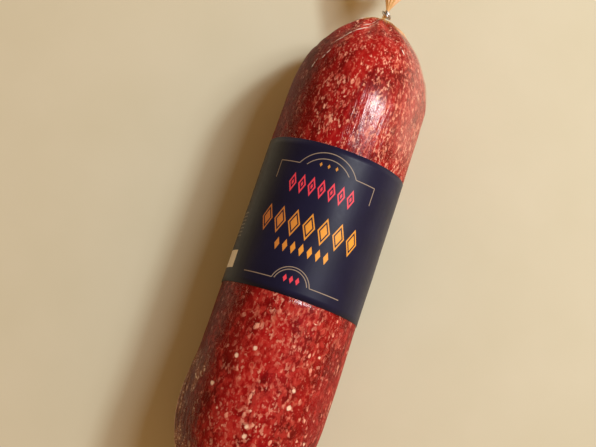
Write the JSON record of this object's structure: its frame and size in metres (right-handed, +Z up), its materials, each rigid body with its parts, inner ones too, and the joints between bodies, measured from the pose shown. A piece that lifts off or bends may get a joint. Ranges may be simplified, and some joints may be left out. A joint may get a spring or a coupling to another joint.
{
  "type": "cured sausage",
  "caption": "Whole cured sausage in a translucent casing, gathered and clipped at both ends, with a wrap label round the middle; lies on its side.",
  "frame": {"origin": "on the surface the sausage lies on, under the middle of its whole length", "axes": "+Z up, +Y along the log towards the end with the longer tail, +X to the right of +Y seen from above"},
  "size_m": [0.092, 0.426, 0.091],
  "materials": {
    "meat": "moist cured red meat with small pale grains of fat",
    "casing_film": "thin translucent amber casing, satin to glossy, finely wrinkled",
    "label_film": null,
    "clip_wire": "bright drawn wire, lightly scuffed"
  },
  "bodies": {
    "root": {"meat_filling": "meat", "casing": "casing_film", "label_band": "label_film", "top_clip": "clip_wire", "bottom_clip": "clip_wire"}
  },
  "joints": []
}
